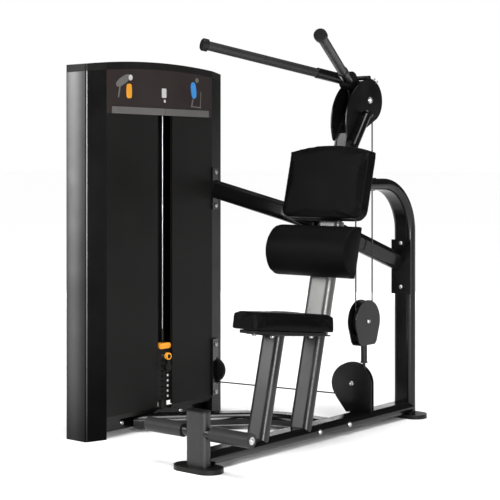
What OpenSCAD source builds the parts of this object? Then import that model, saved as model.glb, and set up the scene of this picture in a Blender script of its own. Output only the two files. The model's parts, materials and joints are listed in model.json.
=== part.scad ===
/* [Frame tubes] */
// Width of the flat-oval frame tube
tube_w = 100; // [90:1:104]
// Depth of the flat-oval frame tube
tube_d = 50; // [46:1:52]
// Wall of every frame tube
tube_wall = 3; // [2:0.5:4]
// Thickness of the two floor feet
foot_t = 18; // [12:1:20]
// Length of a floor foot across the machine
foot_len = 208; // [180:1:230]
// Width of a floor foot along the machine
foot_w = 110; // [90:1:120]
// Height of the front post above the floor
post_top = 220; // [200:1:240]
// Distance from the front post to the rear upright
upright_y = 1376; // [1360:1:1390]
// Centre-line radius of the rear upright's bend
bend_r = 210; // [190:1:220]
// Height of the upright's horizontal run, to its middle
run_z = 1032; // [1020:1:1045]

/* [Seat and pads] */
// Backward lean of the seat posts, the pad post and the pads
lean = 14.3; // [13.5:0.1:15]
// Where the front seat post meets the rail
seat_post_y = 342; // [330:1:350]
// Where the rear seat post meets the rail
pad_post_y = 614; // [605:1:620]
// Nose-up tilt of the seat
seat_tilt = 5.7; // [4:0.1:7]
// Width of the seat at its nose
seat_nose = 128; // [110:1:140]
// Width of the seat at the back
seat_back = 280; // [260:1:300]
// Thickness of the seat
seat_t = 67; // [55:1:75]
// Width of the back pad
pad_w = 416; // [400:1:430]
// Height of the back pad along its lean, at its sides
pad_h = 290; // [280:1:296]
// Thickness of the back pad
pad_t = 54; // [48:1:58]
// Width of the lumbar roll
roll_w = 404; // [390:1:420]
// Radius of the lumbar roll's D section
roll_r = 109; // [104:1:112]

/* [Arm] */
// Height of the arm's pivot
pivot_z = 1388; // [1384:1:1392]
// Radius of the round end of the arm's side plates
plate_r = 92; // [90:1:96]
// Outside diameter of the handle tubes
handle_d = 32; // [28:1:34]
// Outside diameter of the handle grips
grip_d = 38; // [36:1:42]
// Half the distance between the two grip ends
grip_spread = 291; // [270:1:300]

/* [Cables and pulleys] */
// Diameter of the coated steel cable
cable_d = 6; // [5:0.5:6]
// Radius of the cable round the small pulleys, to its middle
wheel_r = 51; // [48:1:52]
// Radius of the cable round the floating pulley, to its middle
float_r = 61; // [59:1:61]
// Radius of the cable round the cam, to its middle
cam_r = 80; // [78:1:80]
// Rest height of the floating pulley
float_z = 452; // [445:1:460]

/* [Tower] */
// Half the length of the weight tower
tower_half = 416; // [410:1:420]
// Height of the tower at the top of its arched cap
tower_top = 1547; // [1540:1:1560]
// Height of the cap's band
cap_h = 30; // [24:1:34]
// Number of weight plates under the head plate
plate_count = 9; // [6:1:9]
// Thickness of one weight plate
plate_t = 22; // [20:1:22]

/* [Hidden] */
$fn = 48;
gap = 0.2;                       // weld and assembly gap between fixed neighbours
run_gap = 0.05;                  // radial clearance of a turning or sliding fit
far = 2000;
groove = cable_d / 2 + 0.3;      // cable's middle to the bottom of a pulley's groove
rail_z = foot_t + tube_d / 2;
rail_top = foot_t + tube_d;
bend_z = run_z - bend_r;
black = "#1b1b1c";
satin = "#3a3a3c";
silver = "#a9a9a6";
vinyl = "#0d0d0d";
steel = "#b8bab9";
rubber = "#161616";
orange = "#f29a1c";

// pivot, cam and cable legs
float_y = 1057;
leg_y = float_y + float_r;       // leg that climbs to the cam
pivot_y = leg_y - cam_r;
anchor_y = float_y - float_r;    // leg that ends under the upright's run
plate_x = 38;                    // inner face of the arm's outer side plate
far_x = 31;                      // inner face of the plate nearer the tower
arm_plate_t = 6;
axle_r = 15;
hub_y = 940;
hub_z = 1468;
hub_r = 38;
hub_half = 22;
grip_end_y = 351;
grip_end_z = 1595;
travel_block = 35;               // rise of the floating pulley at the arm's full swing

// stack and tower, in plan
tower_y = 492;
tower_x = -733;
face_x = -649;
back_x = 2 * tower_x - face_x;
column_w = 92;
column_y = tower_half - column_w;     // inner edge of each column, from the tower's middle
corner_y = tower_half - 12;
slot_y = 514;
slot_w = 90;
stack_x = -720;
stack_front = -667;
stack_back = -777;
rod_pitch = 57;
stack_base = 116;
panel_base = 70;
bar_z = 1325;
bar_h = 29;
cap_r = 3405;

// plane of the low cable: through the floating pulley's rod and the cable inside the rear column
tower_leg_y = 837;
plane_a = atan2(float_y - tower_leg_y, -stack_x);
low_z = 184;
tower_wheel_z = 201.5;
span = norm([stack_x, tower_leg_y - float_y]) - 2 * wheel_r;
cable_tilt = atan2(tower_wheel_z - low_z, span);
top_wheel_z = 1415;
rear_wheel_y = tower_leg_y - wheel_r;
front_wheel_y = slot_y + wheel_r;
face_a = 15.1;                   // slope of the columns' front faces

// ---------- shared shapes ----------

module oval2d(w, d) {
    square([w - d, d], center = true);
    translate([(w - d) / 2, 0]) circle(d = d);
    translate([-(w - d) / 2, 0]) circle(d = d);
}

module oval_ring2d(w, d, wall) {
    difference() {
        oval2d(w, d);
        oval2d(w - 2 * wall, d - 2 * wall);
    }
}

module oval_bar(l, w, d) {
    linear_extrude(l) oval2d(w, d);
}

module oval_tube(l, w, d) {
    linear_extrude(l) oval_ring2d(w, d, tube_wall);
}

// turns a shape drawn in x, y with thickness in z so that it lies in the Y-Z plane
module side_plane() {
    rotate([90, 0, 90]) children();
}

// a shape drawn in Y-Z, extruded from x0 to x1
module side_plate(x0, x1) {
    translate([x0, 0, 0]) side_plane() linear_extrude(x1 - x0) children();
}

module rod_x(x0, x1, r) {
    translate([x0, 0, 0]) rotate([0, 90, 0]) cylinder(r = r, h = x1 - x0);
}

// frame whose x runs along d1 and whose x-y plane holds d2
module in_plane(o, d1, d2) {
    n = cross(d1, d2) / norm(cross(d1, d2));
    m = cross(n, d1);
    multmatrix([[d1[0], m[0], n[0], o[0]], [d1[1], m[1], n[1], o[1]], [d1[2], m[2], n[2], o[2]],
        [0, 0, 0, 1]]) children();
}

// button-head screw with a hexagon socket, its seat at z = 0
module button_head(d = 20, h = 7) {
    difference() {
        union() {
            cylinder(d = d, h = h * 0.45);
            translate([0, 0, h * 0.45]) cylinder(d1 = d, d2 = d * 0.62, h = h * 0.55);
        }
        translate([0, 0, h * 0.4]) cylinder(d = d * 0.38, h = h, $fn = 6);
    }
}

// grooved wheel on its own axis z, cable at radius r
module wheel(r, w, bore) {
    rim = r + 4;
    rotate_extrude() polygon([[bore, -w / 2], [bore + 7, -w / 2], [bore + 9, -w / 4], [r - 12, -w / 4],
        [r - 9, -w / 2], [rim, -w / 2], [rim, -w / 2 + 3], [r - groove, -2], [r - groove, 2],
        [rim, w / 2 - 3], [rim, w / 2], [r - 9, w / 2], [r - 12, w / 4], [bore + 9, w / 4],
        [bore + 7, w / 2], [bore, w / 2]]);
}

// centre of the leaning post at height z
function post_y(z) = pad_post_y + (z - rail_top) * tan(lean);

module leaning(y, z) {
    translate([0, y, z]) rotate([-lean, 0, 0]) children();
}

// ---------- frame ----------

module post_solid() {
    translate([0, 0, foot_t - 1]) oval_bar(post_top, tube_w + 2 * gap, tube_d + 2 * gap);
}

module upright_solid() {
    translate([0, upright_y, foot_t - 1]) oval_bar(400, tube_w + 2 * gap, tube_d + 2 * gap);
}

module rail_solid(grow) {
    translate([0, 0, rail_z]) rotate([-90, 0, 0]) oval_bar(upright_y, tube_w + grow, tube_d + grow);
}

module base_rail() {
    color(satin) difference() {
        translate([0, 0, rail_z]) rotate([-90, 0, 0]) oval_tube(upright_y, tube_w, tube_d);
        post_solid();
        upright_solid();
    }
}

module front_post() {
    color(satin) difference() {
        translate([0, 0, foot_t]) oval_tube(post_top - foot_t - 5, tube_w, tube_d);
        translate([0, 0, peg_z]) rod_x(-60, 60, peg_axle_r + gap);
    }
}

module front_post_cap() {
    color(black) union() {
        translate([0, 0, post_top - 5]) oval_bar(5, tube_w, tube_d);
        translate([0, 0, post_top - 20]) oval_bar(16, tube_w - 2 * tube_wall - 1, tube_d - 2 * tube_wall - 1);
    }
}

module floor_feet() {
    color(black) for (y = [0, upright_y]) {
        translate([0, y, 0]) oval_bar(foot_t - gap, foot_len, foot_w);
    }
}

module run_hole(grow) {
    translate([0, leg_y, run_z - tube_d]) cylinder(r = 12 + grow, h = 2 * tube_d);
}

// the rear upright's outer or inner form: up, round the bend and forward to y_end
module upright_form(w, d, y_end, z_start) {
    run_start = upright_y - bend_r;
    translate([0, upright_y, z_start]) oval_bar(bend_z - z_start, w, d);
    translate([0, run_start, bend_z]) side_plane() rotate_extrude(angle = 90)
        translate([bend_r, 0]) rotate(90) oval2d(w, d);
    translate([0, run_start, run_z]) rotate([90, 0, 0]) oval_bar(run_start - y_end, w, d);
}

module rear_upright() {
    y_end = post_y(run_z) + 10;
    color(satin) difference() {
        upright_form(tube_w, tube_d, y_end, foot_t);
        upright_form(tube_w - 2 * tube_wall, tube_d - 2 * tube_wall, y_end - 40, foot_t - 10);
        run_hole(0);
        leaning(post_y(run_z), run_z) translate([0, 0, -100]) oval_bar(200, tube_w + 3, tube_d + 2 * gap);
    }
}

// underside of the seat: its nose edge, then back and down at the seat's tilt
seat_y = 246;
seat_z = 488;
seat_len = 434;
plate_under = 6;
seat_board_t = 12;
seat_post_w = 96;

module on_seat() {
    translate([0, seat_y, seat_z]) rotate([-seat_tilt, 0, 0]) children();
}

module below_seat() {
    on_seat() translate([-far / 2, -far / 2, -seat_board_t - plate_under - gap]) cube(far);
}

module seat_posts() {
    foot_in = 20;
    color(satin) for (y = [seat_post_y, pad_post_y]) {
        difference() {
            leaning(y, rail_top) translate([0, 0, -foot_in]) oval_tube(520, seat_post_w, tube_d);
            rail_solid(2 * gap);
            below_seat();
        }
    }
}

module seat_plate() {
    color(black) on_seat() difference() {
        translate([-60, 100, -seat_board_t - plate_under]) cube([120, seat_len - 44, plate_under]);
        for (x = [-45, 45], y = [130, 380]) {
            translate([x, y, -40]) cylinder(r = 4.5, h = 60);
        }
    }
}

module seat2d(inset) {
    n = seat_nose / 2 - inset;
    b = seat_back / 2 - inset;
    y1 = seat_len - inset;
    polygon([[-n + 14, inset], [n - 14, inset], [n, inset + 16], [b - 4, y1 - 90], [b, y1 - 30], [b - 26, y1],
        [-b + 26, y1], [-b, y1 - 30], [-b + 4, y1 - 90], [-n, inset + 16]]);
}

module seat_pad() {
    color(vinyl) on_seat() linear_extrude(seat_t) seat2d(0);
}

// the silver post, from the seat plate up to the head post
post_split = 880;
post_w = 118;
post_d = 54;

module pad_post() {
    color(silver) difference() {
        leaning(post_y(400), 400) oval_tube((post_split - 400) / cos(lean), post_w, post_d);
        on_seat() translate([-far / 2, -far / 2, -far - seat_board_t]) cube(far);
    }
}

head_x = 29;                     // outer face of the head's ears
ear_t = 8;
shoulder = 1186;

module head_post() {
    tube_len = (shoulder - post_split) / cos(lean);
    color(satin) difference() {
        union() {
            leaning(post_y(post_split), post_split) translate([0, 0, gap])
                oval_tube(tube_len - 8, tube_w, tube_d);
            leaning(post_y(shoulder), shoulder) translate([0, 0, -8]) oval_bar(8, tube_w, tube_d);
            for (x = [-head_x, head_x - ear_t]) {
                side_plate(x, x + ear_t) {
                    polygon([[876, shoulder - 5], [893, 1250], [pivot_y - 38, pivot_z + 22],
                        [pivot_y + 30, pivot_z - 32], [946, 1204], [924, shoulder - 5]]);
                    translate([pivot_y, pivot_z]) circle(r = 44);
                }
            }
            side_plate(-head_x + ear_t, head_x - ear_t)
                polygon([[880, shoulder - 4], [896, 1247], [917, 1280], [925, 1275], [905, 1240], [890, shoulder - 4]]);
            side_plate(-head_x + ear_t, head_x - ear_t)
                polygon([[914, shoulder - 4], [936, 1206], [985, 1268], [992, 1263], [944, 1201], [923, shoulder - 4]]);
        }
        translate([0, pivot_y, pivot_z]) rod_x(-60, 60, axle_r + run_gap);
    }
}

module pivot_axle() {
    color(steel) translate([0, pivot_y, pivot_z]) {
        rod_x(-far_x - arm_plate_t - 0.5, plate_x + arm_plate_t + 0.5, axle_r);
        translate([plate_x + arm_plate_t + 0.5, 0, 0]) rotate([0, 90, 0]) {
            cylinder(r = 15, h = 1.5);
            translate([0, 0, 1.5]) button_head(22, 8);
        }
        translate([-far_x - arm_plate_t - 0.5, 0, 0]) rotate([0, -90, 0]) {
            cylinder(r = 15, h = 1.5);
            translate([0, 0, 1.5]) button_head(22, 8);
        }
    }
}

// ---------- pads ----------

// frame on the back pad's lower front edge, y backwards through the pad, z up its lean
pad_y = 731;
pad_z = 896;
pad_arch = 760;

module on_pad() {
    leaning(pad_y, pad_z) children();
}

module pad2d(inset) {
    w = pad_w - 2 * inset;
    r = 45 - inset / 2;
    intersection() {
        union() {
            translate([-w / 2, inset + r]) square([w, pad_h]);
            translate([-w / 2 + r, inset]) square([w - 2 * r, r + 1]);
            for (x = [-w / 2 + r, w / 2 - r]) {
                translate([x, inset + r]) circle(r = r);
            }
        }
        translate([0, pad_h + 29 - inset - pad_arch]) circle(r = pad_arch, $fn = 128);
    }
}

module back_pad() {
    color(vinyl) on_pad() translate([0, pad_t, 0]) rotate([90, 0, 0]) linear_extrude(pad_t) pad2d(0);
}

// frame on the roll's flat back, half way up
roll_y = 735.5;
roll_z = 762.5;

module on_roll() {
    leaning(roll_y, roll_z) children();
}

module lumbar_roll() {
    color(vinyl) on_roll() difference() {
        translate([0, 5, 0]) rod_x(-roll_w / 2, roll_w / 2, roll_r);
        translate([-far / 2, 0, -far / 2]) cube(far);
    }
}

// plywood backings and the steel brackets that hold them to the leaning post
module pad_boards() {
    roll_gap = post_y(roll_z) - post_d / 2 / cos(lean) - roll_y;
    color(black) {
        on_seat() translate([0, 0, -seat_board_t + gap]) linear_extrude(seat_board_t - 2 * gap) seat2d(22);
        on_pad() translate([0, pad_t + 12, 0]) rotate([90, 0, 0]) linear_extrude(12 - gap) pad2d(24);
        on_roll() translate([-roll_w / 2 + 15, gap, -88]) cube([roll_w - 30, 12, 176]);
        on_roll() for (z = [-55, 55]) {
            translate([-75, 12 + 2 * gap, z - 20]) cube([150, roll_gap * cos(lean) - 12 - 3 * gap, 40]);
        }
    }
}

// ---------- braces ----------

brace_start = [-640, 836, 1007];
brace_end = [-22, 1343, 690];
brace_corner = [-75.3, 836, 876];
brace_r = 220;

module upper_brace() {
    d1 = (brace_corner - brace_start) / norm(brace_corner - brace_start);
    d2 = (brace_end - brace_corner) / norm(brace_end - brace_corner);
    turn = acos(d1 * d2);
    setback = brace_r * tan(turn / 2);
    leg_1 = norm(brace_corner - brace_start);
    leg_2 = norm(brace_end - brace_corner);
    color(satin) difference() {
        in_plane(brace_corner, d1, d2) {
            translate([-leg_1 - 30, 0, 0]) rotate([90, 0, 90]) oval_upright(leg_1 + 30 - setback);
            translate([-setback, brace_r, 0]) rotate(-90) rotate_extrude(angle = turn)
                translate([brace_r, 0]) rotate(90) oval_ring2d(80, 50, tube_wall);
            rotate(turn) translate([setback, 0, 0]) rotate([90, 0, 90]) oval_upright(leg_2 + 20 - setback);
        }
        translate([-far / 2, upright_y - tube_d / 2 - 8 - gap, 0]) cube(far);
        on_column() translate([-far + 8 + gap, -far / 2, 0]) cube([far, far, far]);
    }
}

module oval_upright(l) {
    linear_extrude(l) rotate(90) oval_ring2d(80, 50, tube_wall);
}

// frame on the rear column's sloped front face, x outward, y along the face, z up from the floor
module on_column() {
    translate([face_x, tower_y + column_y, 0]) rotate(face_a) children();
}

module brace_plates() {
    color(black) {
        on_column() difference() {
            translate([gap, -6, 919]) cube([8 - gap, 52, 187]);
            for (z = [937, 1084]) {
                translate([0, 22, z]) rod_x(-5, 20, 5.5);
            }
        }
        on_column() difference() {
            translate([gap, -6, 96]) cube([8 - gap, 52, 249]);
            for (z = [109, 320]) {
                translate([0, 22, z]) rod_x(-5, 20, 5.5);
            }
            translate([-10, 28, 143]) cube([30, 30, 117]);
        }
        difference() {
            translate([-50, upright_y - tube_d / 2 - 8, 545]) cube([100, 8 - gap, 240]);
            for (z = [577, 770]) {
                translate([0, upright_y, z]) rotate([90, 0, 0]) cylinder(r = 6.2, h = 60);
            }
        }
    }
}

// the low brace: straight out from under the tower, then one bend into the rail
low_brace_r = 350;
low_brace_y = 810;
low_brace_turn = 47;
low_brace_x = -150;

module lower_brace() {
    color(satin) difference() {
        translate([0, 0, rail_z]) {
            translate([low_brace_x, low_brace_y, 0]) rotate([90, 0, 90]) oval_tube(-low_brace_x, tube_w, tube_d);
            translate([low_brace_x, low_brace_y - low_brace_r, 0]) rotate(90)
                rotate_extrude(angle = low_brace_turn) translate([low_brace_r, 0])
                oval_ring2d(tube_w, tube_d, tube_wall);
            translate([low_brace_x, low_brace_y - low_brace_r, 0]) rotate(low_brace_turn)
                translate([0, low_brace_r, 0]) rotate([90, 0, -90]) oval_tube(440, tube_w, tube_d);
        }
        rail_solid(2 * gap);
        translate([tower_x + 25 - far, -far / 2, -far / 2]) cube([far, 2 * far, far]);
    }
}

// ---------- cable hardware ----------

module cable_fittings() {
    color(black) {
        difference() {
            union() {
                translate([0, leg_y, run_z - tube_d / 2 - 3]) cylinder(r = 11.9, h = tube_d + 3);
                translate([0, leg_y, run_z + tube_d / 2 + gap]) cylinder(r = 17, h = 3);
                translate([0, leg_y, run_z + tube_d / 2 - 1]) cylinder(r = 11.9, h = 2);
            }
            translate([0, leg_y, run_z - 2 * tube_d]) cylinder(r = 6, h = 4 * tube_d);
        }
        difference() {
            translate([0, anchor_y, run_z - tube_d / 2 - 40]) cylinder(r = 10, h = 40 - gap);
            translate([0, anchor_y, run_z - tube_d / 2 - 50]) cylinder(r = cable_d / 2 + gap, h = 40);
        }
    }
}

// the vertical plane of the low pulleys: local x towards the machine's middle, local y up
module low_plane() {
    translate([0, float_y, 0]) rotate([90, 0, plane_a]) children();
}

module tower_wheel_frame() {
    translate([stack_x, tower_leg_y, tower_wheel_z]) rotate([90, 0, plane_a]) translate([wheel_r, 0, 0])
        children();
}

module lower_wheel_frame() {
    low_plane() translate([-wheel_r, low_z, 0]) children();
}

guard_in = 13;
guard_t = 4;

module guard2d() {
    circle(r = 89);
    polygon([[-72, -55], [-24, -low_z + rail_top - 6], [89, -low_z + rail_top - 6], [89, 0], [0, 0]]);
}

module lower_guard() {
    color(black) difference() {
        lower_wheel_frame() {
            for (z = [-guard_in - guard_t, guard_in]) {
                translate([0, 0, z]) linear_extrude(guard_t) guard2d();
            }
            translate([-14, -low_z + rail_top - 6, -guard_in - 0.5]) cube([98, 10, 2 * guard_in + 1]);
        }
        lower_wheel_frame() cylinder(r = 6 + run_gap, h = 60, center = true);
        rail_solid(2 * gap);
    }
}

module pulley_axles() {
    color(steel) {
        lower_wheel_frame() axle_bolt(6, guard_in + guard_t);
        tower_wheel_frame() axle_bolt(6, 11, 13);
        for (y = [rear_wheel_y, front_wheel_y]) {
            translate([stack_x, y, top_wheel_z]) rotate([0, 90, 0]) axle_bolt(6, 20);
        }
    }
}

// bolt through a pulley, heads at both ends
module axle_bolt(r, half, head = 20) {
    translate([0, 0, -half - gap]) cylinder(r = r, h = 2 * (half + gap));
    translate([0, 0, half + gap]) button_head(head);
    translate([0, 0, -half - gap]) rotate([180, 0, 0]) button_head(head);
}

module lower_pulley() {
    color(black) lower_wheel_frame() wheel(wheel_r, 18, 6 + run_gap);
}

module tower_pulley() {
    color(black) tower_wheel_frame() wheel(wheel_r, 18, 6 + run_gap);
}

module top_pulley(y) {
    color(black) translate([stack_x, y, top_wheel_z]) rotate([0, 90, 0]) wheel(wheel_r, 18, 6 + run_gap);
}

module cable_up(x, y, z0, z1) {
    translate([x, y, z0]) cylinder(d = cable_d, h = z1 - z0, $fn = 24);
}

// cable laid round a wheel on local axis z, from angle a0 through sweep
module cable_wrap(r, a0, sweep) {
    rotate(a0) rotate_extrude(angle = sweep, $fn = 96) translate([r, 0]) circle(d = cable_d, $fn = 24);
}

module main_cable() {
    hair = 0.06;
    color(rubber) {
        cable_up(0, leg_y, float_z + 48, pivot_z - 33);
        cable_up(0, anchor_y, float_z + 48, run_z - tube_d / 2 - 11);
        // low run: up out of the guard, round both low pulleys and up the column
        lower_wheel_frame() {
            cable_wrap(wheel_r, -90 - cable_tilt, 90 + cable_tilt);
            translate([wheel_r, hair, 0]) rotate([-90, 0, 0]) cylinder(d = cable_d, h = 8, $fn = 24);
            rotate(-90 - cable_tilt) translate([wheel_r, -hair, 0]) rotate([90, 0, 0])
                cylinder(d = cable_d, h = span / cos(cable_tilt) - 2 * hair, $fn = 24);
        }
        tower_wheel_frame() cable_wrap(wheel_r, 180, 90 - cable_tilt);
        cable_up(stack_x, tower_leg_y, tower_wheel_z + hair, top_wheel_z - hair);
        translate([stack_x, rear_wheel_y, top_wheel_z]) side_plane() cable_wrap(wheel_r, 0, 90);
        translate([stack_x, front_wheel_y + hair, top_wheel_z + wheel_r]) rotate([-90, 0, 0])
            cylinder(d = cable_d, h = rear_wheel_y - front_wheel_y - 2 * hair, $fn = 24);
        translate([stack_x, front_wheel_y, top_wheel_z]) side_plane() cable_wrap(wheel_r, 90, 90);
        cable_up(stack_x, slot_y, stem_top + 1, top_wheel_z - hair);
    }
}

// ---------- floating pulley ----------

block_in = 17;
block_t = 5;
block_low = 102;                 // below the pulley's middle

module block2d() {
    circle(r = 89);
    polygon([[-87, -18], [87, -18], [64, -block_low + 14], [50, -block_low], [-50, -block_low],
        [-64, -block_low + 14]]);
}

module float_block() {
    color(black) difference() {
        translate([0, float_y, float_z]) {
            for (x = [-block_in - block_t, block_in]) {
                side_plate(x, x + block_t) block2d();
            }
            translate([-block_in - 1, -50, -block_low]) cube([2 * block_in + 2, 100, block_t]);
        }
        translate([0, float_y, float_z]) rod_x(-40, 40, 8 + run_gap);
    }
}

module float_axle() {
    color(steel) translate([0, float_y, float_z]) rotate([0, 90, 0]) axle_bolt(8, block_in + block_t);
}

module float_pulley() {
    color(black) translate([0, float_y, float_z]) rotate([0, 90, 0]) wheel(float_r, 22, 8 + run_gap);
}

rod_top = float_z - block_low;
rod_low = 278;

module block_rod() {
    color(black) translate([0, float_y, 0]) {
        translate([0, 0, rod_low]) cylinder(r = 13.5, h = rod_top - rod_low - gap);
        translate([0, 0, rod_low - 5]) cylinder(r = 15.5, h = 5);
        translate([0, 0, 240]) cylinder(r = 6.5, h = rod_low - 245);
    }
}

module float_cable() {
    color(rubber) {
        translate([0, float_y, float_z]) side_plane() cable_wrap(float_r, 180, 180);
        cable_up(0, leg_y, float_z, float_z + 8);
        cable_up(0, anchor_y, float_z, float_z + 8);
        cable_up(0, float_y, 202, 240);
    }
}

// ---------- arm ----------

// outline of the arm's side plates, from the pivot
module arm_plate2d() {
    intersection() {
        union() {
            circle(r = plate_r);
            polygon([[-20, 89], [-190, 40], [-200, -120], [-154, -172], [-140, -174], [38, -84], [0, 0]]);
        }
        translate([18, -98]) circle(r = 190, $fn = 96);
    }
}

module arm_plates() {
    color(black) translate([0, pivot_y, pivot_z]) difference() {
        union() {
            for (x = [-far_x - arm_plate_t, plate_x]) {
                side_plate(x, x + arm_plate_t) arm_plate2d();
            }
            // round spacers across the top of the two plates
            for (a = [88, 104]) {
                translate([0, 96 * cos(a), 96 * sin(a)]) rod_x(-far_x - 2, plate_x + 2, 9);
            }
        }
        rod_x(-60, 60, axle_r + run_gap);
    }
}

module cam() {
    rim = cam_r + 4;
    color(satin) difference() {
        translate([0, pivot_y, pivot_z]) {
            rotate([0, 90, 0]) rotate_extrude() polygon([[axle_r + run_gap, -16], [24, -16], [26, -5],
                [cam_r - 14, -5], [cam_r - 11, -9], [rim, -9], [rim, -7], [cam_r - groove, -2],
                [cam_r - groove, 2], [rim, 7], [rim, 9], [cam_r - 11, 9], [cam_r - 14, 5], [26, 5],
                [24, 16], [axle_r + run_gap, 16]]);
            side_plate(-5, 5) polygon([[-84, 2], [-100, 40], [-70, 92], [-45, 71], [-58, 50], [-72, 4]]);
        }
        translate([0, hub_y, hub_z]) rod_x(-30, 30, hub_r + gap);
    }
}

module arm_hub() {
    color(satin) translate([0, hub_y, hub_z]) rod_x(-hub_half, hub_half, hub_r);
}

// frame along a handle, z from the hub outwards; side is -1 or 1
handle_run = [grip_spread, grip_end_y - hub_y, grip_end_z - hub_z];
handle_len = norm(handle_run);
handle_splay = atan2(handle_run[0], -handle_run[1]);
handle_rise = asin(handle_run[2] / handle_len);
handle_root = 46;                // where the handle tube leaves the hub

module on_handle(side) {
    translate([0, hub_y, hub_z]) rotate([0, 0, side * handle_splay]) rotate([90 - handle_rise, 0, 0]) children();
}

module handle_tubes() {
    color(satin) for (side = [-1, 1]) {
        difference() {
            on_handle(side) union() {
                translate([0, 0, 20]) cylinder(d = 45, h = 130);
                translate([0, 0, 149]) cylinder(d = handle_d, h = handle_len - 149 - 10);
            }
            on_handle(side) translate([0, 0, 40]) cylinder(d = handle_d - 6, h = handle_len);
            translate([0, hub_y, hub_z]) rod_x(-hub_half - gap, hub_half + gap, hub_r + gap);
            translate([side > 0 ? -far - gap / 2 : gap / 2, 0, 0]) cube([far, far, far]);
        }
    }
}

module handle_grips() {
    color(rubber) for (side = [-1, 1]) {
        on_handle(side) difference() {
            translate([0, 0, 150 + gap]) cylinder(d = grip_d, h = handle_len - 150 - 20);
            cylinder(d = handle_d + 2 * run_gap, h = handle_len);
        }
    }
}

module grip_end_caps() {
    color(black) for (side = [-1, 1]) {
        on_handle(side) translate([0, 0, handle_len - 20 + 2 * gap]) difference() {
            union() {
                cylinder(d = 51, h = 20);
                translate([0, 0, 20]) cylinder(d1 = 51, d2 = 44, h = 4);
            }
            translate([0, 0, -1]) cylinder(d = handle_d + 2 * gap, h = 12);
        }
    }
}

weight_top = [68, 985, 1326];
weight_end = [68, 890, 1193];

module counterweight() {
    v = weight_end - weight_top;
    color(satin) translate(weight_top) rotate([-90 - atan2(-v[1], -v[2]) + 90, 0, 0]) mirror([0, 0, 1]) {
        cylinder(r = 16, h = norm(v));
        translate([0, 0, -4]) cylinder(r = 23.5, h = 4);
        translate([-23.8, -11, 12]) cube([12, 22, norm(v) - 40]);
    }
}

module cam_cable() {
    color(rubber) translate([0, pivot_y, pivot_z]) side_plane() cable_wrap(cam_r, -52, 152);
}

// ---------- foot pegs ----------

peg_z = 140;
peg_axle_r = 9;
peg_r = 27;
peg_in = 70;
peg_out = 250;

module foot_peg_axle() {
    color(satin) translate([0, 0, peg_z]) union() {
        rod_x(-peg_out - 0.5, peg_out + 0.5, peg_axle_r);
        for (side = [-1, 1]) {
            difference() {
                rod_x(side > 0 ? 40 : -peg_in + 0.3, side > 0 ? peg_in - 0.3 : -40, 20);
                translate([0, 0, foot_t - 1 - peg_z]) oval_bar(post_top, tube_w + 2 * gap, tube_d + 2 * gap);
            }
        }
    }
}

module peg_roller(side) {
    color(rubber) translate([0, 0, peg_z]) difference() {
        rod_x(side > 0 ? peg_in : -peg_out, side > 0 ? peg_out : -peg_in, peg_r);
        rod_x(-peg_out - 1, peg_out + 1, peg_axle_r + run_gap);
    }
}

// ---------- tower ----------

// one end of the tower in plan: two rounded corners, from the front edge round to the back edge
column_e = (face_x - back_x) / 2 - (column_w - 12 + 12 * sin(face_a)) * tan(face_a) - 12 * cos(face_a);
function arc_pts(cx, cy, r, a0, a1) = [for (i = [0:6]) let(a = a0 + (a1 - a0) * i / 6) [cx + r * cos(a),
    cy + r * sin(a)]];
function end_pts(w) = concat(arc_pts(column_e, 12, 12 - w, -face_a, -90),
    arc_pts(-column_e, 12, 12 - w, -90, -180 + face_a));

// outline of one column in plan, its inner edge at y = 0, outer end towards -y
module column2d(wall) {
    h = (face_x - back_x) / 2 - wall / cos(face_a) - wall * tan(face_a);
    translate([tower_x, -column_w])
        polygon(concat([[h, column_w - wall]], end_pts(wall), [[-h, column_w - wall]]));
}

module column_pair2d(wall) {
    translate([0, tower_y - column_y]) column2d(wall);
    translate([0, tower_y + column_y]) mirror([0, 1]) column2d(wall);
}

// everything below the cap's band: depth is how far under the top of the arch
module under_arch(depth) {
    intersection() {
        children();
        translate([-far, tower_y, tower_top - cap_r]) rod_x(0, far, cap_r - depth, $fn = 256);
    }
}

module tower_columns() {
    color(satin) difference() {
        under_arch(cap_h + gap) linear_extrude(tower_top) difference() {
            column_pair2d(0);
            column_pair2d(5);
            // open channel towards the stack
            translate([tower_x - 48, tower_y - column_y - 8]) square([96, 2 * column_y + 16]);
        }
        // slot for the low pulley and bolt holes in the rear column
        on_column() translate([-20, 28, 143]) cube([40, 26, 117]);
        on_column() for (z = [109, 320, 937, 1084]) {
            translate([0, 22, z]) rod_x(-30, 20, 5.5);
        }
    }
}

module tower_plan2d(w) {
    h = (face_x - back_x) / 2 - w;
    y1 = column_w + w * 0.13;
    l = 2 * tower_half;
    rear = [for (i = [13:-1:0]) [end_pts(w)[i][0], l - end_pts(w)[i][1]]];
    translate([tower_x, tower_y - tower_half])
        polygon(concat(end_pts(w), [[-h, y1], [-h, l - y1]], rear, [[h, l - y1], [h, y1]]));
}

module tower_cap() {
    color(black) difference() {
        under_arch(0) linear_extrude(tower_top + 10) tower_plan2d(0);
        translate([-far, tower_y, tower_top - cap_r]) rod_x(0, far, cap_r - cap_h, $fn = 256);
        under_arch(4) linear_extrude(tower_top) tower_plan2d(4);
    }
}

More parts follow.
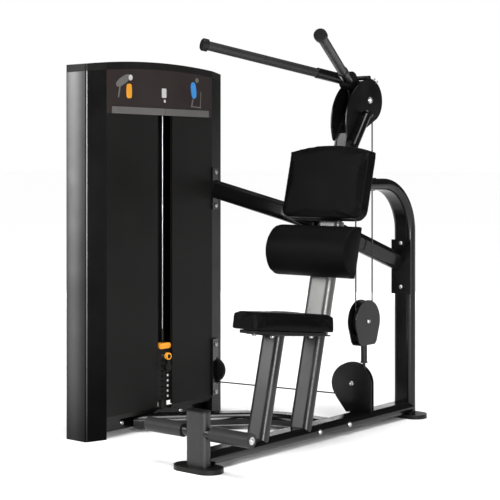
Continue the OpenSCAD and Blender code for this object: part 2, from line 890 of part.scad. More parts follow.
module tower_crossmembers() {
    inner = column_y - gap;
    color(satin) {
        // base tube, top bars that hold the pulleys, and the bar that holds the guide rods
        translate([tower_x - 25, tower_y - inner, 15]) difference() {
            cube([50, 2 * inner, 50]);
            translate([3, -1, 3]) cube([44, 2 * inner + 2, 44]);
        }
        for (x = [stack_x - 20, stack_x + 14]) {
            difference() {
                translate([x, tower_y - inner, 1390]) cube([6, 2 * inner, 50]);
                for (y = [rear_wheel_y, front_wheel_y]) {
                    translate([0, y, top_wheel_z]) rod_x(stack_x - 30, stack_x + 30, 6 + run_gap);
                }
            }
        }
        difference() {
            translate([stack_x - 25, tower_y - inner, 1328]) cube([50, 2 * inner, 10]);
            for (y = [slot_y - rod_pitch, slot_y + rod_pitch]) {
                translate([stack_x, y, 1300]) cylinder(r = rod_r + run_gap, h = 60);
            }
            translate([stack_x, slot_y, 1300]) cylinder(r = 9, h = 60);
        }
    }
}

// one front panel from y0 to y1 with a turned-in lower lip and a turned-in edge along the slot
module front_panel(y0, y1, slot_side) {
    t = 3;
    translate([0, y0, 0]) rotate([90, 0, 0]) mirror([0, 0, 1]) linear_extrude(y1 - y0)
        polygon([[face_x, bar_z - gap], [face_x, panel_base + 20], [face_x - 12, panel_base],
            [face_x - 12 - t, panel_base], [face_x - t, panel_base + 22], [face_x - t, bar_z - gap]]);
    translate([face_x - 14, slot_side > 0 ? y1 - t : y0, panel_base + 24])
        cube([14, t, bar_z - gap - panel_base - 24]);
}

module front_panels() {
    color("#242424") {
        front_panel(tower_y - column_y + gap, slot_y - slot_w / 2, 1);
        front_panel(slot_y + slot_w / 2, tower_y + column_y - gap, -1);
    }
}

module rear_shroud() {
    color("#242424") translate([back_x, tower_y - column_y + gap, panel_base])
        cube([3, 2 * column_y - 2 * gap, tower_top - cap_h - panel_base - 25]);
}

module placard() {
    color("#2f2b29") under_arch(cap_h + gap)
        translate([face_x - 5, tower_y - column_y + gap, bar_z + gap])
        cube([5, 2 * column_y - 2 * gap, 300]);
}

module placard_bar() {
    color("#5c5c5a") for (y = [[197, slot_y - 1.5], [slot_y + 1.5, 791]]) {
        translate([face_x + gap, y[0], bar_z + gap]) cube([3, y[1] - y[0], bar_h]);
    }
}

// ---------- weight stack ----------

rod_r = 6;
first_z = stack_base + (plate_count - 1) * plate_t;
head_z = first_z + plate_t;
head_t = 24;
stem_r = 11;
stem_top = 408;
pin_r = 4.5;
pin_z = first_z + plate_t / 2;

module plate_solid(z, t) {
    difference() {
        translate([stack_back, slot_y - 165, z]) cube([stack_front - stack_back, 330, t]);
        for (y = [slot_y - rod_pitch, slot_y + rod_pitch]) {
            translate([stack_x, y, z - 1]) cylinder(r = rod_r + 2, h = t + 2);
        }
        translate([stack_x, slot_y, z - 1]) cylinder(r = stem_r + 2, h = t + 2);
        translate([0, slot_y, z + t / 2]) rod_x(stack_x, stack_front + 1, pin_r + 0.8);
    }
}

module weight_plates() {
    color("#202020") for (i = [0:plate_count - 2]) {
        plate_solid(stack_base + i * plate_t, plate_t - 0.6);
    }
}

module first_plate() {
    color("#202020") plate_solid(first_z, plate_t - 0.6);
}

module head_plate() {
    color("#202020") difference() {
        translate([stack_back, slot_y - 165, head_z]) cube([stack_front - stack_back, 330, head_t]);
        for (y = [slot_y - rod_pitch, slot_y + rod_pitch]) {
            translate([stack_x, y, head_z - 1]) cylinder(r = 9, h = head_t + 2);
        }
        translate([stack_x, slot_y, head_z - 1]) cylinder(r = stem_r, h = head_t + 2);
    }
}

module guide_bushes() {
    color(black) for (y = [slot_y - rod_pitch, slot_y + rod_pitch]) {
        translate([stack_x, y, head_z]) difference() {
            union() {
                cylinder(r = 9 - run_gap, h = stem_top - head_z);
                translate([0, 0, head_t + gap]) cylinder(r = 13, h = 6);
            }
            translate([0, 0, -1]) cylinder(r = rod_r + run_gap, h = 200);
        }
    }
}

module add_on_grip() {
    grip_y = 523;
    color(orange) translate([stack_front + gap, grip_y, 344]) rotate([0, 90, 0]) rotate(90) oval_bar(9, 71, 24);
    color(orange) translate([stack_front - 40, grip_y - 20, head_z + head_t + gap]) cube([40, 40, 14]);
}

module selector_stem() {
    color(steel) difference() {
        translate([stack_x, slot_y, stack_base - 6]) cylinder(r = stem_r - run_gap, h = stem_top - stack_base + 6);
        for (i = [0:plate_count - 1]) {
            translate([0, slot_y, stack_base + i * plate_t + plate_t / 2])
                rod_x(stack_x - 20, stack_x + 20, pin_r + 0.4);
        }
        translate([stack_x, slot_y, stem_top - 48]) cylinder(r = cable_d / 2 + 1.5, h = 60);
    }
}

module guide_rods() {
    color(steel) for (y = [slot_y - rod_pitch, slot_y + rod_pitch]) {
        translate([stack_x, y, 65 + gap]) cylinder(r = rod_r, h = 1338 - 65);
    }
}

module rubber_bumpers() {
    color(rubber) {
        for (y = [slot_y - rod_pitch, slot_y + rod_pitch]) {
            translate([stack_x, y, 65 + gap]) difference() {
                cylinder(r = 18, h = stack_base - 65 - 2 * gap);
                translate([0, 0, -1]) cylinder(r = rod_r + gap, h = 100);
            }
        }
    }
}

module selector_pin() {
    color(steel) translate([0, slot_y, pin_z]) rod_x(stack_x - stem_r - 0.5, -640, pin_r);
}

module pin_ring() {
    color(orange) translate([-640, slot_y, pin_z]) rotate([0, 90, 0]) difference() {
        cylinder(r = 15, h = 14);
        translate([0, 0, 6]) cylinder(r = 9, h = 10);
    }
}

module pin_grip() {
    color(black) translate([-640, slot_y, pin_z]) {
        translate([6.2, 0, 0]) rod_x(0, 9, 8.8);
        translate([-1, 0, -46]) {
            rod_x(0, 14, 17);
            translate([0, -9, 0]) cube([14, 18, 30.5]);
        }
    }
}

// ---------- fasteners ----------

module frame_bolts() {
    color(steel) {
        // through the rail's side, into the low brace
        for (y = [674, 879], side = [-1, 1]) {
            translate([side * (tube_w / 2 + gap), y, rail_z]) rotate([0, side * 90, 0]) button_head(21, 8);
        }
        // tower brackets
        on_column() for (z = [109, 320, 937, 1084]) {
            translate([8 + gap, 22, z]) rotate([0, 90, 0]) button_head();
            translate([-22, 22, z]) rod_x(0, 30 + 2 * gap, 5);
        }
        // through the upright
        for (z = [577, 770]) {
            translate([0, upright_y - tube_d / 2 - 8 - gap, z]) rotate([90, 0, 0]) button_head(18, 7);
            translate([0, upright_y + tube_d / 2 + gap, z]) rotate([-90, 0, 0]) button_head();
        }
        // outer ends of the foot pegs
        for (side = [-1, 1]) {
            translate([side * (peg_out + 0.5), 0, peg_z]) rotate([0, side * 90, 0]) {
                cylinder(r = 14, h = 2);
                translate([0, 0, 2]) button_head(16, 6);
            }
        }
        // under the seat
        on_seat() for (x = [-45, 45], y = [130, 380]) {
            translate([x, y, -seat_board_t - plate_under - gap]) rotate([180, 0, 0]) button_head(18, 8);
        }
        // tower base
        for (y = [tower_y - 180, tower_y + 180]) {
            translate([tower_x + 25 + gap, y, 42]) rotate([0, 90, 0]) button_head();
        }
    }
}

base_rail();
front_post();
front_post_cap();
floor_feet();
rear_upright();
seat_posts();
seat_plate();
seat_pad();
pad_post();
head_post();
back_pad();
lumbar_roll();
pad_boards();
upper_brace();
lower_brace();
brace_plates();
frame_bolts();
cable_fittings();
lower_guard();
pulley_axles();
foot_peg_axle();
peg_roller(1);  // peg_roller_left
peg_roller(-1);  // peg_roller_right
tower_columns();
tower_cap();
tower_crossmembers();
front_panels();
rear_shroud();
placard();
placard_bar();
guide_rods();
rubber_bumpers();
weight_plates();
main_cable();
pivot_axle();
lower_pulley();
tower_pulley();
top_pulley(rear_wheel_y);  // top_pulley_rear
top_pulley(front_wheel_y);  // top_pulley_front
arm_plates();
cam();
arm_hub();
handle_tubes();
handle_grips();
grip_end_caps();
counterweight();
cam_cable();
float_block();
float_pulley();
float_axle();
block_rod();
float_cable();
first_plate();
head_plate();
add_on_grip();
selector_stem();
guide_bushes();
selector_pin();
pin_ring();
pin_grip();
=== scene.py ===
import bpy
import bmesh
import math
import json
from mathutils import Vector, Matrix
from mathutils.bvhtree import BVHTree


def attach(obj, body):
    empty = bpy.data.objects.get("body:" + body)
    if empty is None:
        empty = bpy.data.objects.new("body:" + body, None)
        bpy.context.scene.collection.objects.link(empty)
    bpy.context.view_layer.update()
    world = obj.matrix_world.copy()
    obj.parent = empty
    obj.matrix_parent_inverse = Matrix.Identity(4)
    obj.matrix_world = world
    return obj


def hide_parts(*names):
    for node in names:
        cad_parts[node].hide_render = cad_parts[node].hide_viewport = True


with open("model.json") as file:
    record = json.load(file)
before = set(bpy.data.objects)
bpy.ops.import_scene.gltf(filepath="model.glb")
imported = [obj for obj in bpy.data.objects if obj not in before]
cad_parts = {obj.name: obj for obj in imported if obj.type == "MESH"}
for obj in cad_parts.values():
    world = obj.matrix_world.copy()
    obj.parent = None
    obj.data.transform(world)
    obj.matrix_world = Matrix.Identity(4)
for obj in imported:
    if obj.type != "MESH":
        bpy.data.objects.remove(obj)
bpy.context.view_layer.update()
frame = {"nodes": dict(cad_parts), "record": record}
nodes = frame["nodes"]
scene = bpy.context.scene

# ---------- camera ----------
cam_data = bpy.data.cameras.new("camera")
cam = bpy.data.objects.new("camera", cam_data)
scene.collection.objects.link(cam)
cam.location = (3.212, -3.594, 1.100)
cam.rotation_euler = (math.radians(90), 0, math.radians(39.557))
cam_data.lens = 95.2
cam_data.sensor_width = 36
cam_data.shift_y = -0.163
cam_data.clip_end = 900
scene.camera = cam
scene.view_settings.view_transform = "Standard"

# ---------- materials ----------


def noise(t, vector, scale, detail):
    """Noise value over vector."""
    n = t.nodes.new("ShaderNodeTexNoise")
    n.inputs["Scale"].default_value = scale
    n.inputs["Detail"].default_value = detail
    t.links.new(vector, n.inputs["Vector"])
    return n.outputs["Fac"]


def ramp_of(t, source, stops):
    """Colour against source (0 to 1); a stop is (position, grey value or RGB)."""
    r = t.nodes.new("ShaderNodeValToRGB")
    e = r.color_ramp.elements
    while len(e) < len(stops):
        e.new(0.5)
    for el, (pos, val) in zip(e, stops):
        el.position = pos
        el.color = (val, val, val, 1) if isinstance(val, (int, float)) else (*val, 1)
    t.links.new(source, r.inputs["Fac"])
    return r.outputs["Color"]


def multiply(t, a, b):
    """Product of two colours."""
    mix = t.nodes.new("ShaderNodeMix")
    mix.data_type = "RGBA"
    mix.blend_type = "MULTIPLY"
    mix.inputs[0].default_value = 1.0
    t.links.new(a, mix.inputs[6])
    t.links.new(b, mix.inputs[7])
    return mix.outputs[2]


def map_range(t, source, lo, hi, to_lo=0.0, to_hi=1.0):
    """source from lo..hi to to_lo..to_hi, clamped."""
    r = t.nodes.new("ShaderNodeMapRange")
    r.inputs["From Min"].default_value = lo
    r.inputs["From Max"].default_value = hi
    r.inputs["To Min"].default_value = to_lo
    r.inputs["To Max"].default_value = to_hi
    t.links.new(source, r.inputs["Value"])
    return r.outputs["Result"]


SLOW_SCALE = 7          # patches of about 0.14 m
BUMP_HEIGHT = 0.0006


def material(name, color, rough, metal=0.0, spec=0.5, grain=0.0, grain_scale=600, bump=0.0, bump_scale=900,
             rough_var=0.06, blotch=0.12, edge=0.0012, voronoi=False, stretch=(1, 1, 1)):
    """Coloured surface with fine grain, slow colour variation, roughness breakup, bump and a soft edge."""
    m = bpy.data.materials.new(name)
    m.use_nodes = True
    t = m.node_tree
    n, ln = t.nodes, t.links
    p = n["Principled BSDF"]
    p.inputs["Metallic"].default_value = metal
    p.inputs["Specular IOR Level"].default_value = spec
    co = n.new("ShaderNodeTexCoord")
    mp = n.new("ShaderNodeMapping")
    mp.inputs["Scale"].default_value = stretch
    ln.new(co.outputs["Object"], mp.inputs["Vector"])
    vector = mp.outputs["Vector"]
    slow = noise(t, vector, SLOW_SCALE, 3)
    c = Vector(color)
    out = ramp_of(t, slow, [(0.3, c * (1 - blotch)), (0.7, c * (1 + blotch))])
    if grain:
        out = multiply(t, out, ramp_of(t, noise(t, vector, grain_scale, 4), [(0.35, 1 - grain), (0.65, 1)]))
    ln.new(out, p.inputs["Base Color"])
    ln.new(map_range(t, slow, 0.3, 0.7, max(0.02, rough - rough_var), min(1.0, rough + rough_var)),
           p.inputs["Roughness"])
    normal = None
    if edge:
        bev = n.new("ShaderNodeBevel")
        bev.samples = 4
        bev.inputs["Radius"].default_value = edge
        normal = bev.outputs["Normal"]
    if bump:
        b = n.new("ShaderNodeBump")
        b.inputs["Strength"].default_value = bump
        b.inputs["Distance"].default_value = BUMP_HEIGHT
        if voronoi:
            v = n.new("ShaderNodeTexVoronoi")
            v.inputs["Scale"].default_value = bump_scale
            v.inputs["Randomness"].default_value = 1.0
            ln.new(vector, v.inputs["Vector"])
            ln.new(v.outputs["Distance"], b.inputs["Height"])
        else:
            ln.new(noise(t, vector, bump_scale, 3), b.inputs["Height"])
        if normal is not None:
            ln.new(normal, b.inputs["Normal"])
        normal = b.outputs["Normal"]
    if normal is not None:
        ln.new(normal, p.inputs["Normal"])
    return m


M = {
    "frame_satin": material("frame_satin", (0.0032, 0.0032, 0.0034), 0.21, 0.0, 0.32, 0.10, 900, 0.10, 1500,
                            edge=0.0016),
    # a lighter, lit copy of the black frame paint for the front post and seat posts: painted light
    "post_satin_lit_copy": material("post_satin_lit_copy", (0.050, 0.050, 0.051), 0.36, 0.85, 0.4, 0.10, 900, 0.08, 1500,
                           edge=0.0016),
    "silver_paint": material("silver_paint", (0.150, 0.150, 0.147), 0.38, 0.75, 0.5, 0.10, 1400, 0.08, 1600),
    "tower_satin": material("tower_satin", (0.42, 0.42, 0.425), 0.36, 0.85, 0.2, 0.10, 1100, 0.06, 1500,
                            edge=0.0),
    "panel_black": material("panel_black", (0.0066, 0.0061, 0.0058), 0.48, 0.0, 0.19, 0.30, 1300, 0.35, 1400,
                            0.05),
    "cap_black": material("cap_black", (0.005, 0.005, 0.0047), 0.42, 0.0, 0.22, 0.15, 900, 0.20, 1100, 0.06),
    "vinyl": material("vinyl", (0.0021, 0.0021, 0.0023), 0.50, 0.0, 0.055, 0.15, 700, 0.30, 480, 0.07,
                      edge=0.0, voronoi=True),
    "board_black": material("board_black", (0.006, 0.0055, 0.005), 0.6, 0.0, 0.2, 0.3, 300, 0.3, 260,
                            stretch=(1, 1, 0.15)),
    "zinc": material("zinc", (0.55, 0.55, 0.54), 0.30, 0.95, 0.5, 0.12, 900, 0.10, 900, 0.08, edge=0.0006),
    "chrome_rod": material("chrome_rod", (0.30, 0.30, 0.305), 0.22, 1.0, 0.5, 0.06, 900, 0.04, 700, 0.05,
                           stretch=(1, 1, 0.05)),
    "pulley_plastic": material("pulley_plastic", (0.004, 0.004, 0.004), 0.42, 0.0, 0.28, 0.15, 900, 0.15,
                               1000),
    "foam_rubber": material("foam_rubber", (0.010, 0.010, 0.010), 0.50, 0.0, 0.35, 0.2, 900, 0.45, 800, 0.06),
    "placard_print": material("placard_print", (0.021, 0.0155, 0.015), 0.36, 0.0, 0.24, 0.10, 1200, 0.05,
                              1200),
    "bar_grey": material("bar_grey", (0.095, 0.091, 0.088), 0.42, 0.0, 0.4, 0.12, 1200, 0.08, 1000),
    "cast_plate": material("cast_plate", (0.008, 0.008, 0.008), 0.48, 0.1, 0.3, 0.2, 500, 0.4, 420),
    "cable_coat": material("cable_coat", (0.005, 0.005, 0.005), 0.35, 0.0, 0.4, 0.15, 1200, 0.25, 900),
    "orange_plastic": material("orange_plastic", (0.85, 0.33, 0.015), 0.34, 0.0, 0.5, 0.10, 900, 0.10, 900),
    "print_white": material("print_white", (0.72, 0.72, 0.70), 0.45, 0.0, 0.4, 0.06, 900, 0.04, 900),
    # printed inks of the placard
    "ink_orange": material("ink_orange", (0.60, 0.25, 0.02), 0.4, 0.0, 0.3, 0.10, 900, 0.04, 900, edge=0.0),
    "ink_blue": material("ink_blue", (0.04, 0.22, 0.55), 0.4, 0.0, 0.3, 0.10, 900, 0.04, 900, edge=0.0),
    "ink_grey": material("ink_grey", (0.11, 0.105, 0.10), 0.45, 0.0, 0.3, 0.15, 900, 0.04, 900, edge=0.0),
    "ink_pale": material("ink_pale", (0.42, 0.42, 0.41), 0.45, 0.0, 0.3, 0.10, 900, 0.04, 900, edge=0.0),
}

TOWER_BACK, TOWER_FRONT, TOWER_TOP = -0.817, -0.649, 1.5
# painted highlight and shade, as shares of the paint's colour: painted reflections by how far a face turns to
# the front or back (a painted highlight on the ends, a painted dark band and a painted highlight line on the
# rounded corner, painted shade on the slanted faces), a painted sheen brightest in the middle across an end
# face, and painted shade darker towards the bottom up the tower
TURN = [(0.0, 0.42), (0.12, 0.30), (0.35, 0.06), (0.50, 0.015), (0.62, 0.05), (0.74, 0.40), (0.84, 0.32),
        (0.93, 0.04), (1.0, 0.025)]
ACROSS = [(0.18, 0.55), (0.33, 0.95), (0.44, 1.0), (0.54, 0.80), (0.65, 0.52), (0.755, 0.30), (0.80, 0.30),
          (0.86, 1.0)]
UP = [(0.02, 0.14), (0.11, 0.32), (0.245, 0.52), (0.38, 0.68), (0.51, 0.85), (0.65, 1.0)]


def painted_tower_light(m):
    """Painted light on the tower's paint: a painted highlight on the ends, painted shade on the slanted faces,
    and a painted dark band and a painted highlight line on the rounded corner.
    """
    t = m.node_tree
    p = t.nodes["Principled BSDF"]
    base = p.inputs["Base Color"].links[0].from_socket
    geo = t.nodes.new("ShaderNodeNewGeometry")
    sn = t.nodes.new("ShaderNodeSeparateXYZ")
    t.links.new(geo.outputs["Normal"], sn.inputs[0])
    ab = t.nodes.new("ShaderNodeMath")
    ab.operation = "ABSOLUTE"
    t.links.new(sn.outputs["X"], ab.inputs[0])
    tc = t.nodes.new("ShaderNodeTexCoord")
    so = t.nodes.new("ShaderNodeSeparateXYZ")
    t.links.new(tc.outputs["Object"], so.inputs[0])
    share = ramp_of(t, ab.outputs[0], TURN)
    share = multiply(t, share, ramp_of(t, map_range(t, so.outputs["X"], TOWER_BACK, TOWER_FRONT), ACROSS))
    share = multiply(t, share, ramp_of(t, map_range(t, so.outputs["Z"], 0.0, TOWER_TOP), UP))
    t.links.new(multiply(t, base, share), p.inputs["Base Color"])


# paints highlights and shade onto the tower's colour
painted_tower_light(M["tower_satin"])

# the front post and seat posts take the lit copy of the frame paint: painted light
LIT_COPY_POSTS = {"front_post", "seat_posts"}
for entry in frame["record"]["subparts"]:
    for s in nodes[entry["node"]].material_slots:
        s.material = M["post_satin_lit_copy" if entry["node"] in LIT_COPY_POSTS else entry["material_slot"]]


# ---------- helpers ----------


def put(name, verts, faces, mat, body="frame", smooth=False):
    """A mesh piece in the row frame that rides on a body."""
    me = bpy.data.meshes.new(name)
    me.from_pydata([tuple(v) for v in verts], [], faces)
    me.validate()
    me.update()
    o = bpy.data.objects.new(name, me)
    scene.collection.objects.link(o)
    me.materials.append(mat)
    for poly in me.polygons:
        poly.use_smooth = smooth
    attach(o, body)
    return o


def tube_mesh(points, r, sides=12, closed=False):
    """A round tube along points, with parallel-transported rings."""
    pts = [Vector(p) for p in points]
    n = len(pts)
    verts, faces = [], []
    tangents = []
    for i in range(n):
        a = pts[(i - 1) % n] if closed or i else pts[i]
        b = pts[(i + 1) % n] if closed or i < n - 1 else pts[i]
        tangents.append((b - a).normalized())
    up = Vector((0, 0, 1)) if abs(tangents[0].z) < 0.9 else Vector((0, 1, 0))
    side = tangents[0].cross(up).normalized()
    for i in range(n):
        t = tangents[i]
        side = (side - t * side.dot(t)).normalized()
        v = t.cross(side)
        for k in range(sides):
            a = 2 * math.pi * k / sides
            verts.append(pts[i] + (side * math.cos(a) + v * math.sin(a)) * r)
    last = n if closed else n - 1
    for i in range(last):
        j = (i + 1) % n
        for k in range(sides):
            k2 = (k + 1) % sides
            faces.append((i * sides + k, i * sides + k2, j * sides + k2, j * sides + k))
    if not closed:
        faces.append(tuple(range(sides))[::-1])
        faces.append(tuple((n - 1) * sides + k for k in range(sides)))
    return verts, faces


def activate(o):
    """Make o the one selected object, as bpy.ops expects."""
    bpy.ops.object.select_all(action="DESELECT")
    o.select_set(True)
    bpy.context.view_layer.objects.active = o


VOXEL = 0.006
WELD = 2e-5
PRESSURE = 4.0
SIM_FRAMES = 20


def cushion(node, name, place, shrink, cap, pin_test, rounding):
    """Copy of a soft CAD solid, a little smaller, remeshed, blown up as cloth and capped.

    place is the cushion's own frame, shrink is per axis of it, cap is how far a point may move, pin_test says
    which points stay, and rounding is the number of smoothing passes before the cloth.
    """
    me = nodes[node].data.copy()
    me.name = name
    o = bpy.data.objects.new(name, me)
    scene.collection.objects.link(o)
    me.materials.clear()
    me.materials.append(M["vinyl"])
    if "custom_normal" in me.attributes:
        me.attributes.remove(me.attributes["custom_normal"])
    inv = place.inverted()
    bm = bmesh.new()
    bm.from_mesh(me)
    bmesh.ops.remove_doubles(bm, verts=bm.verts, dist=WELD)
    local = [inv @ v.co for v in bm.verts]
    lo = Vector(min(c[i] for c in local) for i in range(3))
    hi = Vector(max(c[i] for c in local) for i in range(3))
    mid, half = (lo + hi) / 2, (hi - lo) / 2
    for v, c in zip(bm.verts, local):
        d = c - mid
        v.co = place @ (mid + Vector(d[i] * (half[i] - shrink[i]) / half[i] for i in range(3)))
    bm.to_mesh(me)
    bm.free()
    activate(o)
    me.remesh_voxel_size = VOXEL
    bpy.ops.object.voxel_remesh()
    sm = o.modifiers.new("smooth", "SMOOTH")
    sm.factor = 0.5
    sm.iterations = rounding
    bpy.ops.object.modifier_apply(modifier=sm.name)
    rest = [v.co.copy() for v in o.data.vertices]
    g = o.vertex_groups.new(name="pin")
    pins = [v.index for v in o.data.vertices if pin_test(inv @ v.co)]
    g.add(pins, 1.0, "REPLACE")
    cl = o.modifiers.new("cloth", "CLOTH")
    cs = cl.settings
    cs.quality = 5
    cs.mass = 0.3
    cs.tension_stiffness = 30
    cs.compression_stiffness = 30
    cs.shear_stiffness = 12
    cs.bending_stiffness = 3
    cs.use_pressure = True
    cs.uniform_pressure_force = PRESSURE
    cs.effector_weights.gravity = 0
    cs.vertex_group_mass = "pin"
    cl.point_cache.frame_start = 1
    cl.point_cache.frame_end = SIM_FRAMES
    for f in range(1, SIM_FRAMES + 1):
        scene.frame_set(f)
    ev = o.evaluated_get(bpy.context.evaluated_depsgraph_get())
    moved = [v.co.copy() for v in ev.data.vertices]
    o.modifiers.remove(cl)
    for v, r, m in zip(o.data.vertices, rest, moved):
        d = m - r
        v.co = r + (d.normalized() * min(d.length, cap) if d.length > 0 else d)
    scene.frame_set(1)
    o.vertex_groups.clear()
    sub = o.modifiers.new("subdivision", "SUBSURF")
    sub.levels = sub.render_levels = 1
    bpy.ops.object.modifier_apply(modifier=sub.name)
    for poly in o.data.polygons:
        poly.use_smooth = True
    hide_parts(node)
    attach(o, "frame")
    return o


def seam(name, target, points, r, sink, closed=True):
    """Piping laid on a cushion's skin along points near it; sink is the share of r that it stands off."""
    skin = target.data
    bvh = BVHTree.FromPolygons([v.co for v in skin.vertices], [p.vertices for p in skin.polygons])
    on = []
    for p in points:
        hit, nor, _, _ = bvh.find_nearest(Vector(p))
        on.append(hit + nor * r * sink)
    v, f = tube_mesh(on, r, 8, closed)
    o = put(name, v, f, M["vinyl"], smooth=True)


def leaning(y, z, deg):
    """Frame at (0, y, z) that leans back by deg."""
    return Matrix.Translation((0, y, z)) @ Matrix.Rotation(math.radians(-deg), 4, "X")


LEAN = 14.3
PAD = leaning(0.731, 0.896, LEAN)
ROLL = leaning(0.7355, 0.7625, LEAN)
SEAT = leaning(0.246, 0.488, 5.7)

back = cushion("back_pad", "back_pad_skin", PAD, (0.002, 0.003, 0.002), 0.006, lambda c: c.y > 0.047,
               rounding=14)
roll = cushion("lumbar_roll", "lumbar_roll_skin", ROLL, (0.002, 0.003, 0.003), 0.006, lambda c: c.y > -0.006,
               rounding=5)
seat = cushion("seat_pad", "seat_pad_skin", SEAT, (0.002, 0.002, 0.003), 0.007, lambda c: c.z < 0.006,
               rounding=12)

# piping and seams on the cushions, in each cushion's own frame
SEAM_R = 0.0013
SEAM_OFF = 0.1
BACK_SEAM_X, BACK_SEAM_HALF = 0.176, 0.128
ROLL_PIPE_X, ROLL_PIPE_Z = 0.204, 0.095
NOSE_HALF = 0.155
for side in (-1, 1):
    tag = "left" if side < 0 else "right"
    line = [PAD @ Vector((side * BACK_SEAM_X, -0.06, -BACK_SEAM_HALF + 2 * BACK_SEAM_HALF * k / 24))
            for k in range(25)]
    seam("back_seam_" + tag, back, line, SEAM_R, SEAM_OFF, closed=False)
    turns = [2 * math.pi * k / 48 for k in range(48)]
    ring = [ROLL @ Vector((side * ROLL_PIPE_X, -0.0675 * math.cos(a) - 0.045, ROLL_PIPE_Z * math.sin(a)))
            for a in turns]
    seam("roll_piping_" + tag, roll, ring, 0.0014, 0.25)
nose = [SEAT @ Vector((-NOSE_HALF + 2 * NOSE_HALF * k / 30, -0.105 - 0.03 * math.sin(math.pi * k / 30), 0.06))
        for k in range(31)]
seam("seat_seam", seat, nose, SEAM_R, SEAM_OFF, closed=False)


def flat(name, outline, ink, x=TOWER_FRONT, t=0.0005):
    """A thin printed shape on the front face at x; outline is (y, z) points."""
    n = len(outline)
    v = [(x, y, z) for y, z in outline] + [(x + t, y, z) for y, z in outline]
    f = [tuple(range(n))[::-1], tuple(range(n, 2 * n))]
    f += [(k, (k + 1) % n, n + (k + 1) % n, n + k) for k in range(n)]
    put(name, v, f, M[ink])


def blob(cy, cz, ry, rz, power=2.0, turn=0.0, n=28):
    """Rounded outline; a power of 2 is an ellipse and a higher one is squarer."""
    pts = []
    for k in range(n):
        a = 2 * math.pi * k / n
        c, s = math.cos(a), math.sin(a)
        y = ry * math.copysign(abs(c) ** (2 / power), c)
        z = rz * math.copysign(abs(s) ** (2 / power), s)
        pts.append((cy + y * math.cos(turn) - z * math.sin(turn),
                    cz + y * math.sin(turn) + z * math.cos(turn)))
    return pts


def stroke(y0, z0, y1, z1, w):
    """Straight bar of width w."""
    d = Vector((y1 - y0, z1 - z0)).normalized()
    q = Vector((-d.y, d.x)) * w / 2
    return [(y0 + q.x, z0 + q.y), (y0 - q.x, z0 - q.y), (y1 - q.x, z1 - q.y), (y1 + q.x, z1 + q.y)]


# left sign: generic round and oblong shapes
flat("sign_left_body", blob(0.297, 1.420, 0.016, 0.030, power=4), "ink_orange")
flat("sign_left_arch", blob(0.262, 1.462, 0.045, 0.016, power=2.4, turn=0.5), "ink_grey", t=0.0004)
flat("sign_left_dot", blob(0.305, 1.476, 0.012, 0.012), "ink_pale")
flat("sign_left_bar", stroke(0.235, 1.392, 0.248, 1.462, 0.007), "ink_grey")
# middle sign: a small pale tag
flat("sign_tag", blob(0.507, 1.420, 0.014, 0.020, power=8), "ink_pale")
flat("sign_tag_dot", blob(0.511, 1.386, 0.006, 0.007), "ink_pale")
# right sign
flat("sign_right_body", blob(0.694, 1.440, 0.017, 0.036, power=2.6, turn=0.15), "ink_blue")
flat("sign_right_dot", blob(0.716, 1.484, 0.011, 0.011), "ink_grey")
flat("sign_right_foot", stroke(0.682, 1.372, 0.690, 1.402, 0.008), "ink_grey")
flat("sign_right_base", stroke(0.676, 1.370, 0.742, 1.366, 0.005), "ink_grey")
flat("sign_right_post", stroke(0.738, 1.368, 0.742, 1.436, 0.004), "ink_grey", t=0.0004)
# one pale dot on each lower weight plate
STACK_FRONT, FIRST_DOT_Z, PLATE_PITCH, DOT_R = -0.667, 0.1267, 0.022, 0.0052
for k in range(8):
    dot = blob(0.548, FIRST_DOT_Z + PLATE_PITCH * k, DOT_R, DOT_R)
    flat(f"plate_dot_{k + 1}", dot, "print_white", x=STACK_FRONT)


BOLT_R, BOLT_H = 0.0062, 0.0038
BOLT_SIDES = 24


def button_bolt(name, centre, body):
    """Button head with a six-sided socket, facing +X from centre."""
    axis = Vector((1, 0, 0))
    u = axis.orthogonal().normalized()
    v = axis.cross(u)
    c = Vector(centre)
    r, h, m = BOLT_R, BOLT_H, BOLT_SIDES
    turns = [2 * math.pi * k / m for k in range(m)]
    # dome, then the socket's rim and floor: (radius at each turn, height)
    rings = [([rr] * m, hh) for rr, hh in
             ((r, 0), (r, h * 0.3), (r * 0.93, h * 0.62), (r * 0.78, h * 0.88), (r * 0.6, h), (r * 0.42, h))]
    hexagon = [r * 0.40 / max(abs(math.cos((a % (math.pi / 3)) - math.pi / 6)), 0.5) * 0.866 for a in turns]
    rings += [(hexagon, h), (hexagon, h * 0.35)]
    verts = [c + (u * math.cos(a) + v * math.sin(a)) * rad + axis * hh
             for radii, hh in rings for a, rad in zip(turns, radii)]
    faces = []
    for i in range(len(rings) - 1):
        for k in range(m):
            k2 = (k + 1) % m
            faces.append((i * m + k, i * m + k2, (i + 1) * m + k2, (i + 1) * m + k))
    faces.append(tuple((len(rings) - 1) * m + k for k in range(m)))
    put(name, verts, faces, M["zinc"], body)


button_bolt("arm_top_bolt_1", (0.0440, 1.069, 1.4775), "arm")
button_bolt("arm_top_bolt_2", (0.0440, 1.088, 1.4680), "arm")

# ---------- stage ----------


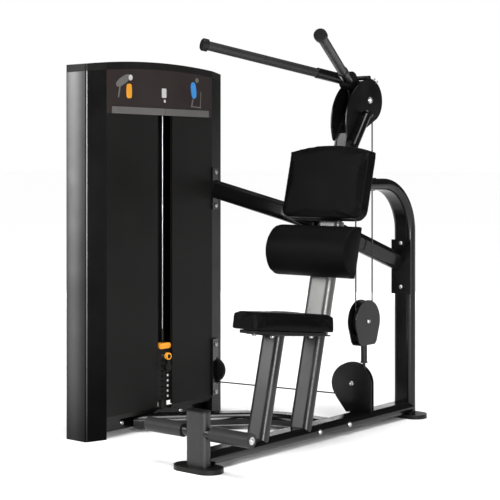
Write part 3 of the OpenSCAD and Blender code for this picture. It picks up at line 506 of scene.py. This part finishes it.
def background(strength):
    """White background shader of the world."""
    b = wn.new("ShaderNodeBackground")
    b.inputs[0].default_value = (1, 1, 1, 1)
    b.inputs[1].default_value = strength
    return b.outputs[0]


# white behind the object, dim as a light
w = bpy.data.worlds.new("studio")
scene.world = w
w.use_nodes = True
wn, wl = w.node_tree.nodes, w.node_tree.links
wn.remove(wn["Background"])
lp = wn.new("ShaderNodeLightPath")
mixw = wn.new("ShaderNodeMixShader")
wl.new(lp.outputs["Is Camera Ray"], mixw.inputs[0])
wl.new(background(0.05), mixw.inputs[1])
wl.new(background(1.0), mixw.inputs[2])
wl.new(mixw.outputs[0], wn["World Output"].inputs["Surface"])

FLOOR_HALF = 400
floor_mat = material("floor_pale", (0.905, 0.905, 0.905), 0.7, 0.0, 0.1, 0.02, 60, edge=0.0, blotch=0.01)
me = bpy.data.meshes.new("floor")
me.from_pydata([(x * FLOOR_HALF, y * FLOOR_HALF, 0) for x, y in ((-1, -1), (1, -1), (1, 1), (-1, 1))], [],
               [(0, 1, 2, 3)])
floor = bpy.data.objects.new("floor", me)
scene.collection.objects.link(floor)
me.materials.append(floor_mat)


def area(name, loc, look, size, size_y, energy):
    """Rectangular light at loc that points at look."""
    d = bpy.data.lights.new(name, "AREA")
    d.shape = "RECTANGLE"
    d.size, d.size_y = size, size_y
    d.energy = energy
    o = bpy.data.objects.new(name, d)
    scene.collection.objects.link(o)
    o.location = loc
    o.rotation_euler = (Vector(look) - Vector(loc)).to_track_quat("-Z", "Y").to_euler()


area("softbox", (-3.1, -3.6, 2.7), (-0.3, 0.2, 1.2), 2.2, 3.0, 150)
area("strip", (4.05, -2.6, 1.9), (0, 0.6, 0.9), 0.35, 3.2, 260)
area("top", (0.0, 0.4, 4.8), (0, 0.5, 0), 3.5, 3.5, 30)
area("low_back", (-4.2, 5.6, 0.8), (-0.2, 0.6, 0.5), 5.0, 1.4, 35)
sun_data = bpy.data.lights.new("sun", "SUN")
sun_data.energy = 3.6
sun_data.angle = math.radians(40)
sun = bpy.data.objects.new("sun", sun_data)
scene.collection.objects.link(sun)
sun.rotation_euler = (math.radians(8), math.radians(6), 0)
